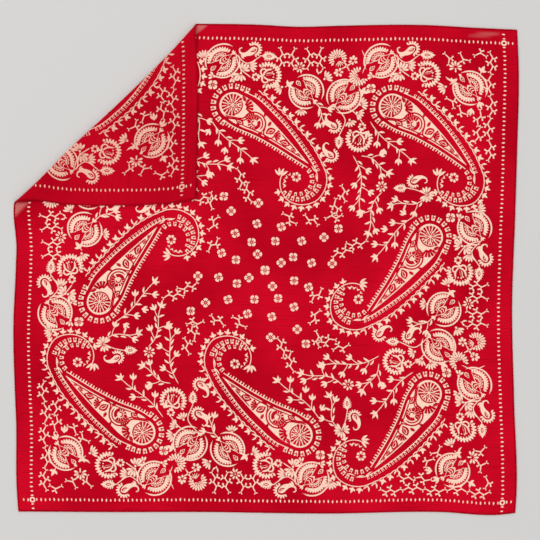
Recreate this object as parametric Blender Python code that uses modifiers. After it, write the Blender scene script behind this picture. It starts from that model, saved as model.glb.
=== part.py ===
"""A bandana laid flat and face up, with one corner folded over onto its face.

It is one square of thin cloth with a narrow rolled hem along every edge. The solids are the
stretch that lies face up, the corner that is turned back over it, and the hem along each edge.
The origin is on the surface it lies on, below the middle of its box. X runs across it, Y runs
towards its top edge, and Z is up.
"""

import bmesh
import bpy
import numpy as np

MM = 0.001

# Cloth and hem, in millimetres.
WALL = 1.0
HEM_RADIUS = 0.9
SEAM_GAP = 0.3
HEM_INSET = 2 * HEM_RADIUS + SEAM_GAP  # from the cloth's edge to the cloth beside the hem

# The four edges of the cloth before its corner is turned over. Each row is how far along the
# edge it is, from 0 to 1, and how far from the cloth's middle the edge lies there.
LEFT_EDGE = [
    (0.000, -279.8),
    (0.044, -281.5),
    (0.186, -282.3),
    (0.247, -283.7),
    (0.379, -285.3),
    (0.496, -282.6),
    (0.539, -281.9),
    (0.627, -284.9),
    (0.663, -281.9),
    (0.742, -285.3),
    (0.846, -286.1),
    (0.952, -281.0),
    (1.000, -274.6),
]
RIGHT_EDGE = [
    (0.000, 281.3),
    (0.028, 282.4),
    (0.233, 280.1),
    (0.431, 277.9),
    (0.615, 281.3),
    (0.731, 283.2),
    (0.917, 285.3),
    (1.000, 283.5),
]
BOTTOM_EDGE = [
    (0.000, -273.6),
    (0.185, -274.2),
    (0.366, -274.2),
    (0.623, -275.9),
    (0.849, -274.2),
    (0.969, -277.2),
    (1.000, -275.3),
]
TOP_EDGE = [
    (0.000, 278.6),
    (0.358, 277.2),
    (0.463, 276.4),
    (0.563, 273.8),
    (0.644, 275.0),
    (0.825, 275.5),
    (0.905, 272.9),
    (1.000, 270.4),
]
WIDTH = RIGHT_EDGE[0][1] - LEFT_EDGE[0][1]
HEIGHT = TOP_EDGE[0][1] - BOTTOM_EDGE[0][1]

# The fold that turns the corner over. It crosses the top edge and the left edge at these
# shares of their lengths, and it is a soft turn, not a pressed one.
FOLD_ON_TOP = 0.352
FOLD_ON_LEFT = 0.630
FOLD_RADIUS = 2.5
FOLD_SLOPE = 13.0  # how far the turned cloth takes to sink back onto the face
FLAP_REST = 2.2  # height of the middle of the turned cloth where it lies on the face
SEAM_PAST_FOLD = 8.0  # the face and the folded corner meet this far in from the fold, hidden
# How far the fold bows in towards the middle. Each row is a share of its length and the bow.
FOLD_BOW = [(0.00, 0.0), (0.14, 2.4), (0.42, 2.7), (0.70, 0.6), (0.89, 1.2), (1.00, 0.0)]
TIP_LIFT = 3.0
TIP_REACH = 26.0

# Ridges left by folding the cloth away flat. Each row is a share of the height and how high.
PRESS_FOLDS_ACROSS = [(0.2535, 0.5), (0.506, 0.9), (0.744, 0.3)]
PRESS_FOLD_UP = (0.5, 0.5)  # a share of the width and how high
RIDGE_REACH = 6.0

# How finely the sections are spaced.
ROW_SPACING = 18.0
COLUMNS_EACH_SIDE = 15
FLAP_SPACING = 9.0
TURN_STEPS = 8
FLAP_COLUMNS = 18
HEM_SPACING = 16.0

CLOTH_RED = (0.56, 0.004, 0.012)
HEM_RED = (0.42, 0.003, 0.010)


def smooth(table, at):
    """The value of a table of (place, value) rows on one smooth curve through the rows."""
    place, value = np.array(table, dtype=float).T
    slope = np.gradient(value, place)
    at = np.asarray(at, dtype=float)
    i = np.clip(np.searchsorted(place, at) - 1, 0, len(place) - 2)
    step = place[i + 1] - place[i]
    f = (at - place[i]) / step
    ends = (1 + 2 * f) * (1 - f) ** 2 * value[i] + f**2 * (3 - 2 * f) * value[i + 1]
    bend = f * (1 - f) ** 2 * slope[i] + f**2 * (f - 1) * slope[i + 1]
    return ends + step * bend


def cut(across, up):
    """Where a point of the cloth lies before the corner is turned over. across and up are
    shares of the width and the height, and the edges' waves fade towards the opposite edge."""
    x = (1 - across) * smooth(LEFT_EDGE, up) + across * smooth(RIGHT_EDGE, up)
    y = (1 - up) * smooth(BOTTOM_EDGE, across) + up * smooth(TOP_EDGE, across)
    return x, y


def fold_frame():
    """The fold's upper end, the directions along it and in from it, and its length."""
    top = np.array(cut(FOLD_ON_TOP, 1.0))
    low = np.array(cut(0.0, FOLD_ON_LEFT))
    length = np.linalg.norm(low - top)
    along = (low - top) / length
    inward = np.array([-along[1], along[0]])
    return top, along, inward, length


def past_turn(x, y):
    """How far a flat point lies past the line where the cloth starts to turn, and its share of
    the fold's length."""
    top, along, inward, length = fold_frame()
    share = ((x - top[0]) * along[0] + (y - top[1]) * along[1]) / length
    inside = (x - top[0]) * inward[0] + (y - top[1]) * inward[1]
    bow = smooth(FOLD_BOW, np.clip(share, 0, 1))
    return FOLD_RADIUS + bow - inside, share


def ridge(distance, height):
    """A straight-sided ridge that is height tall and reaches RIDGE_REACH to each side."""
    return height * np.clip(1 - np.abs(distance) / RIDGE_REACH, 0, None)


def press_folds(across, up):
    """The height of the storage ridges at a point of the cloth."""
    lift = ridge((across - PRESS_FOLD_UP[0]) * WIDTH, PRESS_FOLD_UP[1])
    for share, height in PRESS_FOLDS_ACROSS:
        lift = np.maximum(lift, ridge((up - share) * HEIGHT, height))
    return lift


def fold_over(x, y, rest):
    """Carries flat points beyond the turn back over the cloth. They go half way round a circle
    of FOLD_RADIUS, then sink along a bell-shaped slope to FLAP_REST, and the tip curls up.
    rest is the height of the middle of the wall before the turn."""
    top, along, inward, length = fold_frame()
    past, share = past_turn(x, y)
    angle = np.clip(past / FOLD_RADIUS, 0, np.pi)
    beyond = np.clip(past - np.pi * FOLD_RADIUS, 0, None)
    inside = FOLD_RADIUS * (1 - np.sin(angle)) + beyond + np.clip(-past, 0, None)
    sinking = 1 - np.exp(-((beyond / FOLD_SLOPE) ** 2))
    crown = rest + 2 * FOLD_RADIUS
    z = rest + FOLD_RADIUS * (1 - np.cos(angle)) - (crown - FLAP_REST) * sinking
    tip_x, tip_y = cut(0.0, 1.0)
    from_tip = np.hypot(x - tip_x, y - tip_y)
    z = z + TIP_LIFT * np.exp(-((from_tip / TIP_REACH) ** 2))
    inside = inside + smooth(FOLD_BOW, np.clip(share, 0, 1))
    ground = top + share[..., None] * length * along + inside[..., None] * inward
    return np.concatenate([ground, z[..., None]], axis=-1)


def crossing(point_at, low, high, past):
    """The share between low and high at which a line of points is past the turn by this much."""
    for _ in range(40):
        middle = (low + high) / 2
        beyond = past_turn(*point_at(middle))[0] > past
        low, high = np.where(beyond, middle, low), np.where(beyond, high, middle)
    return (low + high) / 2


def even_places(low, high, spacing):
    """Evenly spaced places from low to high, about spacing apart."""
    return np.linspace(low, high, max(2, round((high - low) / spacing) + 1))


def panel_points():
    """Rows of points across the face, from the bottom edge up. The upper rows start at the seam
    with the folded corner, so the grid follows the cloth's five sides."""
    in_x, in_y = HEM_INSET / WIDTH, HEM_INSET / HEIGHT
    seam = FOLD_RADIUS - SEAM_PAST_FOLD - SEAM_GAP
    up_seam = crossing(lambda b: cut(in_x, 1 - b), 0.0, 1.0, seam)
    half = RIDGE_REACH / HEIGHT
    stops = [in_y]
    for share, _ in PRESS_FOLDS_ACROSS:
        stops += [share - half, share, share + half]
    stops = sorted(stops + [1 - up_seam, 1 - in_y])
    runs = [even_places(a, b, ROW_SPACING / HEIGHT) for a, b in zip(stops, stops[1:])]
    up = np.unique(np.concatenate(runs).round(9))
    start = crossing(lambda a: cut(a, up), np.full(len(up), in_x), np.full(len(up), 0.7), seam)
    start = np.where(up <= 1 - up_seam, in_x, start)
    half = RIDGE_REACH / WIDTH
    shares = np.linspace(0, 1, COLUMNS_EACH_SIDE)[None, :]
    before = start[:, None] + (0.5 - half - start[:, None]) * shares
    after = 0.5 + half + (0.5 - half - in_x) * shares + 0 * start[:, None]
    across = np.hstack([before, np.full((len(up), 1), 0.5), after])
    up = np.broadcast_to(up[:, None], across.shape)
    x, y = cut(across, up)
    return np.stack([x, y, WALL / 2 + press_folds(across, up)], axis=-1)


def corner_points():
    """Rows of points along the folded corner, from the seam round the turn to the tip. Each row
    is parallel to the fold and runs from the top edge to the left edge."""
    in_x, in_y = HEM_INSET / WIDTH, HEM_INSET / HEIGHT
    turned = np.pi * FOLD_RADIUS
    farthest = past_turn(*cut(in_x, 1 - in_y))[0] - HEM_INSET
    flat = even_places(turned, farthest, FLAP_SPACING)[1:]
    past = np.concatenate([[FOLD_RADIUS - SEAM_PAST_FOLD], np.linspace(0, turned, TURN_STEPS + 1), flat])
    many = np.zeros(len(past))
    on_top = crossing(lambda a: cut(a, 1 - in_y), many + in_x, many + 0.7, past)
    on_left = crossing(lambda b: cut(in_x, 1 - b), many + in_y, many + 0.7, past)
    top = np.stack(cut(on_top, 1 - in_y), axis=-1)
    left = np.stack(cut(in_x, 1 - on_left), axis=-1)
    shares = np.linspace(0, 1, FLAP_COLUMNS + 1)[None, :, None]
    flat_points = top[:, None] + (left - top)[:, None] * shares
    return fold_over(flat_points[..., 0], flat_points[..., 1], WALL / 2)


def surface(name, points):
    """A plain grid whose vertices are moved to rows and columns of points."""
    rows, columns = points.shape[:2]
    bm = bmesh.new()
    bmesh.ops.create_grid(bm, x_segments=columns - 1, y_segments=rows - 1, size=1.0)
    for vertex in bm.verts:
        column = round((vertex.co.x + 1) / 2 * (columns - 1))
        row = round((vertex.co.y + 1) / 2 * (rows - 1))
        vertex.co = points[row, column] * MM
    mesh = bpy.data.meshes.new(name)
    bm.to_mesh(mesh)
    bm.free()
    return bpy.data.objects.new(name, mesh)


def cloth(name, points, material):
    """A wall of cloth, half its thickness to each side of the points."""
    made = surface(name, points)
    made.data.materials.append(material)
    wall = made.modifiers.new("wall", "SOLIDIFY")
    wall.thickness = WALL * MM
    wall.offset = 0.0
    return made


def rolled_hem(name, points, material):
    """A round hem along a line of points."""
    curve = bpy.data.curves.new(name, "CURVE")
    curve.dimensions = "3D"
    curve.bevel_depth = HEM_RADIUS * MM
    curve.bevel_resolution = 2
    curve.use_fill_caps = True
    spline = curve.splines.new("POLY")
    spline.points.add(len(points) - 1)
    for point, place in zip(spline.points, points):
        point.co = (*(place * MM), 1.0)
    curve.materials.append(material)
    return bpy.data.objects.new(name, curve)


def flat_hem(name, across, up, material):
    """A hem on the surface, along shares of the cloth's width and height."""
    x, y = cut(across, up)
    return rolled_hem(name, np.stack([x, y, np.full(len(x), HEM_RADIUS)], axis=-1), material)


def folded_hem(name, edge, tip, material):
    """A hem on the folded corner, along an edge from the seam, round the turn, to the tip.
    edge gives the flat point at a share of its length, and tip is the share where it ends."""
    seam = FOLD_RADIUS - SEAM_PAST_FOLD
    turned = np.pi * FOLD_RADIUS
    bends = np.array([seam, *np.linspace(0, turned, TURN_STEPS + 1)])
    many = np.zeros(len(bends))
    bends = crossing(edge, many + tip, many + 0.7, bends)
    steps = round((bends[-1] - tip) * WIDTH / HEM_SPACING)
    flat = np.linspace(bends[-1], tip, steps + 1)[1:]
    x, y = edge(np.concatenate([bends, flat]))
    return rolled_hem(name, fold_over(x, y, HEM_RADIUS), material)


def make_material(name, colour, roughness):
    """A plain dyed cloth."""
    material = bpy.data.materials.new(name)
    material.use_nodes = True
    shader = material.node_tree.nodes["Principled BSDF"]
    shader.inputs["Base Color"].default_value = (*colour, 1.0)
    shader.inputs["Roughness"].default_value = roughness
    shader.inputs["Metallic"].default_value = 0.0
    return material


def make_hems(material):
    """Six hems: four along the face's edges, and two along the folded corner's."""
    in_x, in_y = HEM_RADIUS / WIDTH, HEM_RADIUS / HEIGHT
    short_x = (2 * HEM_RADIUS + SEAM_GAP) / WIDTH
    seam = FOLD_RADIUS - SEAM_PAST_FOLD - SEAM_GAP
    top_end = crossing(lambda a: cut(a, 1 - in_y), 0.0, 0.7, seam)
    left_end = 1 - crossing(lambda b: cut(in_x, 1 - b), 0.0, 0.7, seam)
    across = even_places(short_x, 1 - short_x, HEM_SPACING / WIDTH)
    right = even_places(0.0, 1.0, HEM_SPACING / HEIGHT)
    left = even_places(0.0, left_end, HEM_SPACING / HEIGHT)
    top = even_places(top_end, 1 - short_x, HEM_SPACING / WIDTH)
    return [
        flat_hem("hem_top", top, np.full(len(top), 1 - in_y), material),
        flat_hem("hem_right", np.full(len(right), 1 - in_x), right, material),
        flat_hem("hem_bottom", across, np.full(len(across), in_y), material),
        flat_hem("hem_left", np.full(len(left), in_x), left, material),
        folded_hem("hem_corner_top", lambda a: cut(a, 1 - in_y), short_x, material),
        folded_hem("hem_corner_left", lambda b: cut(in_x, 1 - b), 0.0, material),
    ]


def centre_on_origin(objects):
    """Moves the objects so that the origin is below the middle of their box."""
    bpy.context.view_layer.update()
    ready = bpy.context.evaluated_depsgraph_get()
    places = []
    for o in objects:
        places += [vertex.co.copy() for vertex in o.evaluated_get(ready).to_mesh().vertices]
    low, high = np.min(places, axis=0), np.max(places, axis=0)
    for o in objects:
        o.location = (-(low[0] + high[0]) / 2, -(low[1] + high[1]) / 2, -low[2])


def main():
    for o in list(bpy.data.objects):
        bpy.data.objects.remove(o)
    parts = bpy.data.collections.new("bandana")
    bpy.context.scene.collection.children.link(parts)
    face_red = make_material("printed_cloth", CLOTH_RED, 0.85)
    back_red = make_material("cloth_reverse", CLOTH_RED, 0.9)
    hem_red = make_material("hem_cloth", HEM_RED, 0.85)
    made = [
        cloth("panel", panel_points(), face_red),
        cloth("folded_corner", corner_points(), back_red),
        *make_hems(hem_red),
    ]
    for o in made:
        parts.objects.link(o)
    centre_on_origin(made)


main()
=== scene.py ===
# %% [markdown]
# # A printed wool bandana, laid flat with one corner turned over
# A bandana is one square of thin cloth. Its whole edge is finished with a narrow rolled hem, and its
# face is printed. This lesson builds it as a maker would: first the cut of the cloth, then the way it
# lies, then the hems, and last the print, which is drawn motif by motif in flat millimetres and then
# laid onto the cloth. Nothing is drawn in place: one function, `lay`, carries any point of the flat
# cloth to where it lies, so the print, the hems and the cloth always agree.

import bpy
import numpy as np
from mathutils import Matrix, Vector


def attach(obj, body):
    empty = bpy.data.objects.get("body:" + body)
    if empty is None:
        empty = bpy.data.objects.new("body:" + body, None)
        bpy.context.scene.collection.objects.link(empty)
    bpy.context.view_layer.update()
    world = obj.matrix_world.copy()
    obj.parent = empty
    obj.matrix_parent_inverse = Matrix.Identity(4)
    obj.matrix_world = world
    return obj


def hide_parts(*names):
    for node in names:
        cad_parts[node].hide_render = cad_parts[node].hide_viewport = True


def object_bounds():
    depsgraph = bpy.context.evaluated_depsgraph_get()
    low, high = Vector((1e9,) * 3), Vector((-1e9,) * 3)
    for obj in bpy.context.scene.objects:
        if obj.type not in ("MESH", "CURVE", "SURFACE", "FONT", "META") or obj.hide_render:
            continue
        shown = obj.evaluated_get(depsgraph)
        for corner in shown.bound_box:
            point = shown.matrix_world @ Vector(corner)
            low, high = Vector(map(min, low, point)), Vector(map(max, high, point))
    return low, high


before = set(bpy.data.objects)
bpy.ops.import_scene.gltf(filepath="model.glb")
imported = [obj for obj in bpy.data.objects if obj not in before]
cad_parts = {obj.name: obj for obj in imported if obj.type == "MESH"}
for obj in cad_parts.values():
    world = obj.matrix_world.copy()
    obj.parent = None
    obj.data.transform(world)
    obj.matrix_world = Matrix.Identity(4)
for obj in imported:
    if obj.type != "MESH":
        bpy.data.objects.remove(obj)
cad_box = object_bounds()
print("the CAD box, in metres:", cad_box)

MM = 0.001

# %% [markdown]
# ## The cut of the cloth
# Cloth that lies on a table never has ruler-straight sides. Each side here is a short table: how far
# along the side, and how far from the middle it lies there. A smooth curve through the rows gives the
# side, and every inner thread follows a blend of the two sides that it runs between.

# %% The four sides
LEFT_EDGE = [
    (0.000, -279.8),
    (0.044, -281.5),
    (0.186, -282.3),
    (0.247, -283.7),
    (0.379, -285.3),
    (0.496, -282.6),
    (0.539, -281.9),
    (0.627, -284.9),
    (0.663, -281.9),
    (0.742, -285.3),
    (0.846, -286.1),
    (0.952, -281.0),
    (1.000, -274.6),
]
RIGHT_EDGE = [
    (0.000, 281.3),
    (0.028, 282.4),
    (0.233, 280.1),
    (0.431, 277.9),
    (0.615, 281.3),
    (0.731, 283.2),
    (0.917, 285.3),
    (1.000, 283.5),
]
BOTTOM_EDGE = [
    (0.000, -273.6),
    (0.185, -274.2),
    (0.366, -274.2),
    (0.623, -275.9),
    (0.849, -274.2),
    (0.969, -277.2),
    (1.000, -275.3),
]
TOP_EDGE = [
    (0.000, 278.6),
    (0.358, 277.2),
    (0.463, 276.4),
    (0.563, 273.8),
    (0.644, 275.0),
    (0.825, 275.5),
    (0.905, 272.9),
    (1.000, 270.4),
]
WIDTH, HEIGHT = 562.0, 551.0  # the square as it was cut, in millimetres


def smooth(table, at):
    """The value of a table of (place, value) rows on one smooth curve through the rows: between
    two rows it is the cubic that meets both values and both rows' slopes."""
    place, value = np.array(table, dtype=float).T
    slope = np.gradient(value, place)
    at = np.asarray(at, dtype=float)
    i = np.clip(np.searchsorted(place, at) - 1, 0, len(place) - 2)
    step = place[i + 1] - place[i]
    f = (at - place[i]) / step
    ends = (1 + 2 * f) * (1 - f) ** 2 * value[i] + f**2 * (3 - 2 * f) * value[i + 1]
    bend = f * (1 - f) ** 2 * slope[i] + f**2 * (f - 1) * slope[i + 1]
    return ends + step * bend


def cut(across, up):
    """Where a point of the cloth lies before the corner is turned over: across and up are shares
    of the width and height, and x is the left side's x times what is left of the width plus the
    right side's times across. y is the same with the bottom and top sides."""
    x = (1 - across) * smooth(LEFT_EDGE, up) + across * smooth(RIGHT_EDGE, up)
    y = (1 - up) * smooth(BOTTOM_EDGE, across) + up * smooth(TOP_EDGE, across)
    return x, y


print("the square was cut", WIDTH, "by", HEIGHT, "mm")

# %% [markdown]
# ## How it lies
# The corner is turned over in a soft, unpressed fold: the cloth goes half way round a small circle and
# then sinks back onto the face. The rest lies almost flat, with the faint ridges of older folds along the
# threads, and with long shallow swells.

# %% The fold
FOLD_ON_TOP = 0.352
FOLD_ON_LEFT = 0.630
FOLD_RADIUS = 2.5
FOLD_SLOPE = 13.0
FOLD_BOW = [(0.00, 0.0), (0.14, 2.4), (0.42, 2.7), (0.70, 0.6), (0.89, 1.2), (1.00, 0.0)]
CLOTH_REST = 0.55  # the middle of the cloth where it lies on the table
FLAP_REST = 2.2  # and where the turned corner lies on the face
THICKNESS = 0.34  # fine wool, as thick as a few sheets of paper
TIP_LIFT = 3.0  # how high the very tip of the turned corner stands
TIP_REACH = 26.0
SWELLS_FADE = 9.0  # how far from the fold the swells die out

FOLD_TOP = np.array(cut(FOLD_ON_TOP, 1.0))
FOLD_LOW = np.array(cut(0.0, FOLD_ON_LEFT))
FOLD_LENGTH = np.linalg.norm(FOLD_LOW - FOLD_TOP)
ALONG_FOLD = (FOLD_LOW - FOLD_TOP) / FOLD_LENGTH
INWARD = np.array([-ALONG_FOLD[1], ALONG_FOLD[0]])


def past_turn(x, y):
    """How far a flat point lies past the line where the cloth starts to turn, and its share of the
    fold's length: the distance in from the fold's outer line is taken from the turn's radius."""
    share = ((x - FOLD_TOP[0]) * ALONG_FOLD[0] + (y - FOLD_TOP[1]) * ALONG_FOLD[1]) / FOLD_LENGTH
    inside = (x - FOLD_TOP[0]) * INWARD[0] + (y - FOLD_TOP[1]) * INWARD[1]
    return FOLD_RADIUS + smooth(FOLD_BOW, np.clip(share, 0, 1)) - inside, share


# The ridges of old folds run along the threads. Each row: is it level or upright, its share of the
# height or width, how high it stands, how far it reaches to each side, and the stretch it fades in.
PRESS_FOLDS = [
    ("level", 0.506, 0.55, 5.5, 0.00, 1.00),
    ("level", 0.2535, 0.40, 5.0, 0.02, 0.98),
    ("level", 0.744, 0.22, 5.0, 0.30, 1.00),
    ("upright", 0.500, 0.35, 4.5, 0.00, 1.00),
]
# Long shallow swells. Each row: how many cross the width, how many the height, a start and a height.
SWELLS = [
    (1.3, 0.7, 0.9, 0.24),
    (0.6, 2.1, 2.6, 0.20),
    (2.7, 1.2, 4.1, 0.12),
    (1.1, 3.4, 5.2, 0.10),
    (4.3, 2.9, 1.7, 0.05),
    (3.1, 5.2, 3.3, 0.04),
]


def relief(across, up):
    """The height of the cloth above its rest: each old fold is a bell, its height times
    exp(-(distance / reach) squared), and each swell is a slanting sine wave."""
    height = np.zeros(np.shape(across))
    for way, place, tall, reach, first, last in PRESS_FOLDS:
        over, beside = (up, across) if way == "level" else (across, up)
        size = HEIGHT if way == "level" else WIDTH
        # The ridge wanders a little and is not equally sharp all along.
        wander = 1.2 * np.sin(9.0 * beside + 7 * place) + 0.6 * np.sin(31.0 * beside)
        uneven = 0.75 + 0.25 * np.sin(13.0 * beside + 11 * place)
        there = np.clip((beside - first) / 0.05 + 1, 0, 1) * np.clip((last - beside) / 0.05 + 1, 0, 1)
        height = height + tall * uneven * there * np.exp(-(((over - place) * size + wander) / reach) ** 2)
    for wide, high, start, tall in SWELLS:
        height = height + tall * (1 + np.sin(2 * np.pi * (wide * across + high * up) + start)) / 2
    return height


def lay(u, v):
    """Where a point of the flat cloth lies. u and v are millimetres from its middle, to the right
    and up. Past the turn it goes half way round a circle of FOLD_RADIUS, then back over the face,
    sinking along a bell-shaped slope to FLAP_REST. The tip curls up like a second, smaller bell."""
    across, up = 0.5 + u / WIDTH, 0.5 + v / HEIGHT
    x, y = cut(across, up)
    past, share = past_turn(x, y)
    angle = np.clip(past / FOLD_RADIUS, 0, np.pi)
    beyond = np.clip(past - np.pi * FOLD_RADIUS, 0, None)
    turned = past > 0
    inside = FOLD_RADIUS * (1 - np.sin(angle)) + beyond + np.clip(-past, 0, None)
    inside = inside + smooth(FOLD_BOW, np.clip(share, 0, 1))
    sinking = 1 - np.exp(-((beyond / FOLD_SLOPE) ** 2))
    crown = CLOTH_REST + 2 * FOLD_RADIUS
    z = CLOTH_REST + FOLD_RADIUS * (1 - np.cos(angle)) - (crown - FLAP_REST) * sinking
    # The swells die out beside the fold and come back, softer, on the turned corner.
    near = np.exp(-((np.clip(-past, 0, None) / SWELLS_FADE) ** 2)) * (beyond == 0)
    z = z + relief(across, up) * np.where(turned & (beyond == 0), 0.0, 1 - near)
    tip_x, tip_y = cut(0.0, 1.0)
    z = z + TIP_LIFT * np.exp(-(((x - tip_x) ** 2 + (y - tip_y) ** 2) / TIP_REACH**2))
    fold_x = FOLD_TOP[0] + share * FOLD_LENGTH * ALONG_FOLD[0] + inside * INWARD[0]
    fold_y = FOLD_TOP[1] + share * FOLD_LENGTH * ALONG_FOLD[1] + inside * INWARD[1]
    return np.stack([np.where(turned, fold_x, x), np.where(turned, fold_y, y), z], axis=-1)


def out_of_face(u, v):
    """The direction straight out of the printed face: the cross product of the steps that the laid
    cloth takes when u and when v grows a little."""
    step = 0.25
    along_u = lay(u + step, v) - lay(u - step, v)
    along_v = lay(u, v + step) - lay(u, v - step)
    out = np.cross(along_u, along_v)
    return out / np.linalg.norm(out, axis=-1, keepdims=True)


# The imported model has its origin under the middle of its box, so the laid cloth is moved there.
sides = np.linspace(-0.5, 0.5, 400)
ends = np.full(400, 0.5)
rim_u = WIDTH * np.concatenate([sides, ends, sides, -ends])
rim_v = HEIGHT * np.concatenate([ends, sides, -ends, sides])
rim = lay(rim_u, rim_v)[:, :2]
box_middle = (np.array(cad_box[0]) + np.array(cad_box[1]))[:2] / 2
SHIFT = np.append(box_middle / MM - (rim.min(axis=0) + rim.max(axis=0)) / 2, 0.0)
print("the laid cloth spans", np.ptp(rim, axis=0).round(1), "mm and is moved by", SHIFT.round(2))

# %% [markdown]
# ## The cloth
# The face-up stretch is a grid of rows across the cloth. Its upper rows start at the turn and not at
# the left side, so that the grid follows the cloth's five sides. The folded corner is a second grid,
# with its rows along the fold: many round the turn, where it bends sharply, and fewer beyond. Both
# grids share the points on the line where the turn starts, so the two are one unbroken sheet.

# %% Grids
SPACING = 3.0
TURN_STEPS = 18
LAST_ROW = 0.9995


def crossing(point_at, low, high, past):
    """The share between low and high at which a line of points is past the turn by this much,
    found by halving the stretch forty times."""
    for _ in range(40):
        middle = (low + high) / 2
        beyond = past_turn(*point_at(middle))[0] > past
        low, high = np.where(beyond, middle, low), np.where(beyond, high, middle)
    return (low + high) / 2


def face_grid():
    """Rows and columns of flat points from the bottom side up to the top. Row by row the left end is
    the left side or, above the fold, the line where the turn starts."""
    on_left = 1 - crossing(lambda b: cut(0.0, 1 - b), 0.0, 1.0, 0.0)
    lower = np.linspace(0, on_left, round(on_left * HEIGHT / SPACING) + 1)
    upper = np.linspace(on_left, 1, round((1 - on_left) * HEIGHT / SPACING) + 1)[1:]
    up = np.concatenate([lower, upper])
    start = crossing(lambda a: cut(a, up), np.zeros(len(up)), np.full(len(up), 0.7), 0.0)
    start[: len(lower)] = 0.0
    columns = round(WIDTH / SPACING) + 1
    across = start[:, None] + (1 - start[:, None]) * np.linspace(0, 1, columns)[None, :]
    up = np.broadcast_to(up[:, None], across.shape)
    return across, up, len(lower) - 1


def corner_grid(across, up, first):
    """Rows of flat points along the fold, from the line where the turn starts to the corner. Each
    row shrinks in proportion, so its points keep their order and all meet at the corner."""
    start = np.stack([across[first:, 0], up[first:, 0]], axis=-1)[::-1]
    tip = np.array([0.0, 1.0])
    reach = past_turn(*cut(0.0, 1.0))[0]
    turn = np.pi * FOLD_RADIUS
    bends = np.linspace(0, turn, TURN_STEPS + 1)[1:]
    flat = np.linspace(turn, reach, round((reach - turn) / SPACING) + 1)[1:]
    share = np.concatenate([bends, flat])[:, None, None] / reach
    # The last row would be one point many times over, so it stops just short of the corner.
    share = np.minimum(share, LAST_ROW)
    both = start[None] + (tip - start[None]) * share
    return both[..., 0], both[..., 1]


def quads(rows, columns, first=0):
    """The faces of a grid whose points are numbered row by row from first."""
    i = first + np.arange(rows * columns).reshape(rows, columns)
    return np.stack([i[:-1, :-1], i[:-1, 1:], i[1:, 1:], i[1:, :-1]], axis=-1).reshape(-1, 4)


def add_mesh(name, points, faces, flat):
    """A mesh object from points in millimetres, four-sided faces and each point's place on the flat
    cloth, which becomes the UV map that the weave is drawn on, in metres."""
    mesh = bpy.data.meshes.new(name)
    mesh.vertices.add(len(points))
    mesh.vertices.foreach_set("co", ((points + SHIFT) * MM).astype(np.float32).ravel())
    mesh.loops.add(faces.size)
    mesh.loops.foreach_set("vertex_index", faces.astype(np.int32).ravel())
    mesh.polygons.add(len(faces))
    mesh.polygons.foreach_set("loop_start", np.arange(0, faces.size, 4, dtype=np.int32))
    mesh.update(calc_edges=True)
    mesh.polygons.foreach_set("use_smooth", np.ones(len(faces), dtype=bool))
    on_cloth = mesh.uv_layers.new(name="cloth")
    on_cloth.data.foreach_set("uv", (flat[faces.ravel()] * MM).astype(np.float32).ravel())
    made = bpy.data.objects.new(name, mesh)
    bpy.context.scene.collection.objects.link(made)
    return made


def painted_light(across, up):
    """A mask of painted light, from 0 to about 1, by which the cloth's colour pales: a painted glow in a
    small triangle at each end of the fold, as if light came through it there, and a painted highlight in one
    thin crescent."""
    at_top = (across - FOLD_ON_TOP) * WIDTH / 16 + (1 - up) * HEIGHT / 14
    at_left = across * WIDTH / 17 + (FOLD_ON_LEFT - up) * HEIGHT / 18
    ends = (across >= FOLD_ON_TOP) * np.clip(4 - 4 * at_top, 0, 1)
    ends = np.maximum(ends, (up <= FOLD_ON_LEFT) * np.clip(4 - 4 * at_left, 0, 1))
    # Under the top edge, by its right end, is a thin crescent of painted highlight.
    along = (across - 0.935) * WIDTH / 19
    crescent = 1.2 - along**2 - np.abs((1 - up) * HEIGHT - 7 + 2 * along) / 3
    return np.maximum(ends, 0.6 * np.clip(crescent, 0, 1))


def make_cloth():
    """The whole sheet: the face's grid, and the corner's grid hung on the face's slanting side."""
    across, up, first = face_grid()
    corner_across, corner_up = corner_grid(across, up, first)
    rows, columns = across.shape
    all_across = np.concatenate([across.ravel(), corner_across.ravel()])
    all_up = np.concatenate([up.ravel(), corner_up.ravel()])
    flat = np.stack([(all_across - 0.5) * WIDTH, (all_up - 0.5) * HEIGHT], axis=-1)
    face = quads(rows, columns)
    corner_rows, corner_columns = corner_across.shape
    corner = quads(corner_rows, corner_columns, rows * columns)
    hinge = np.arange(first, rows)[::-1] * columns
    next_row = rows * columns + np.arange(corner_columns)
    join = np.stack([hinge[:-1], hinge[1:], next_row[1:], next_row[:-1]], axis=-1)
    points = lay(flat[:, 0], flat[:, 1])
    # The corner's rows run the other way round, so their faces are turned to match the face's.
    faces = np.concatenate([face, corner[:, ::-1], join[:, ::-1]])
    made = add_mesh("cloth", points, faces, flat)
    # The painted light mask, a painted glow at the fold's ends and a painted highlight, is kept on the
    # points.
    mask = made.data.attributes.new("painted_light", "FLOAT", "POINT")
    mask.data.foreach_set("value", painted_light(all_across, all_up).astype(np.float32))
    return made


cloth = make_cloth()
wall = cloth.modifiers.new("thickness", "SOLIDIFY")
wall.thickness = THICKNESS * MM
wall.offset = 0.0
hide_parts("panel", "folded_corner")
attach(cloth, "root")
print("the cloth has", len(cloth.data.polygons), "faces to a side")

# %% [markdown]
# ## The rolled hem
# A fine scarf is hemmed by rolling its raw edge into a thin tube and catching it down with small
# stitches, which pinch the tube every few millimetres. Each hem here is a flattened tube carried along
# one side of the cloth by the same `lay`, so it goes round the turn with the cloth. Its ends are closed.

# %% Hems
HEM_INSET = 0.95  # from the cloth's edge to the middle of the roll
HEM_HALF_WIDTH = 1.05  # half of the pressed roll's width, and below half of its height
HEM_HALF_HEIGHT = 0.46
STITCH_PITCH = 3.6
HEM_STEP = 0.9
HEM_SIDES = 10


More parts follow.
